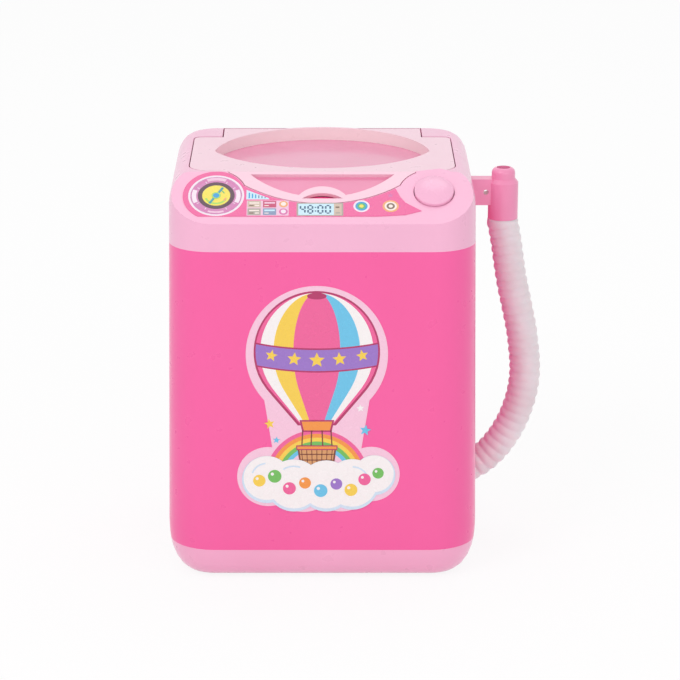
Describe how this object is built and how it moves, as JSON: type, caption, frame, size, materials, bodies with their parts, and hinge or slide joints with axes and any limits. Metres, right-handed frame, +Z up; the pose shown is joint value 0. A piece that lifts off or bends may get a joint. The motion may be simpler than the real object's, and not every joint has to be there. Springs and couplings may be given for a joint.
{
  "type": "toy washing machine",
  "caption": "Toy washing machine: rounded box body, sloping control panel with push button, hinged see-through lid, spinning perforated basket and a ribbed drain hose on a side hook.",
  "frame": {"origin": "on the standing surface, under the middle of the body", "axes": "+X to the side with the hose, -Y to the front with the control panel, +Z up"},
  "size_m": [0.142, 0.1046, 0.1529],
  "materials": {
    "pale_pink": "moulded, soft gloss",
    "hot_pink": "moulded, soft gloss",
    "lid_pink": "moulded, soft gloss",
    "hook_pink": "moulded, soft gloss",
    "tub_pink": "moulded, satin",
    "basket_pink": "moulded, satin",
    "pulsator_blue": "moulded, soft gloss",
    "clear_pink": "see-through, tinted, polished",
    "white_plastic": "moulded, satin",
    "dark_plastic": "moulded, satin",
    "dark_rubber": "matte",
    "printed_label": "printed film, gloss",
    "printed_decal": "printed film, gloss",
    "hose_plastic": "translucent, ribbed, satin",
    "zinc_steel": "zinc plated",
    "shaft_steel": "ground",
    "contact_metal": "nickel plated",
    "bush_brass": "turned",
    "motor_can": "plated can",
    "cell_sleeve": "plain printed sleeve",
    "lead_red": "soft sleeve",
    "lead_white": "soft sleeve",
    "lead_black": "soft sleeve"
  },
  "bodies": {
    "housing": {"base_tray": "pale_pink", "rubber_feet": "dark_rubber", "cabinet": "hot_pink", "base_screws": "zinc_steel", "top_cover": "pale_pink", "cover_screws": "zinc_steel", "control_label": "printed_label", "front_decal": "printed_decal", "push_switch": "dark_plastic", "switch_screws": "zinc_steel", "battery_box": "white_plastic", "battery_cell_1": "cell_sleeve", "battery_cell_2": "cell_sleeve", "contact_plates": "contact_metal", "contact_springs": "contact_metal", "wash_tub": "tub_pink", "tub_screws": "zinc_steel", "shaft_bush": "bush_brass", "shaft_seal": "dark_rubber", "drive_motor": "motor_can", "gearbox_plate": "white_plastic", "plate_screws": "zinc_steel", "drain_elbow": "white_plastic", "drain_hose": "hose_plastic", "lead_red": "lead_red", "lead_white": "lead_white", "lead_black": "lead_black"},
    "lid": {"lid": "lid_pink", "lid_window": "clear_pink"},
    "button": {"power_button": "pale_pink", "switch_plunger": "white_plastic"},
    "rotor": {"spin_basket": "basket_pink", "pulsator": "pulsator_blue", "pulsator_screw": "zinc_steel", "drive_spindle": "shaft_steel", "spindle_gear": "white_plastic"},
    "pinion": {"motor_pinion": "bush_brass", "motor_shaft": "shaft_steel"},
    "battery_door": {"battery_door": "hot_pink", "door_screw": "zinc_steel"},
    "hook": {"hose_hook": "hook_pink"}
  },
  "joints": [
    {"name": "lid_hinge", "type": "hinge", "parent": "housing", "child": "lid", "pos_m": [0, 0.039, 0.1476], "axis": [-1, 0, 0], "range_deg": [0, 88]},
    {"name": "button_press", "type": "slide", "parent": "housing", "child": "button", "axis": [0, 0.5299, -0.848], "range_m": [0, 0.0015], "stiffness_N_per_m": 300, "springref_m": -0.0005},
    {"name": "basket_spin", "type": "hinge", "parent": "housing", "child": "rotor", "pos_m": [0, 0.002, 0.05], "axis": [0, 0, 1], "continuous": true},
    {"name": "pinion_spin", "type": "hinge", "parent": "housing", "child": "pinion", "pos_m": [0, -0.013, 0.045], "axis": [0, 0, 1], "continuous": true},
    {"name": "battery_door_hinge", "type": "hinge", "parent": "housing", "child": "battery_door", "pos_m": [0, 0.05107, 0.01698], "axis": [-1, 0, 0], "range_deg": [0, 75]},
    {"name": "hook_unclip", "type": "slide", "parent": "housing", "child": "hook", "axis": [1, 0, 0], "range_m": [0, 0.01]}
  ],
  "couplings": [
    {"joint": "pinion_spin", "follows": "basket_spin", "ratio": -4}
  ]
}
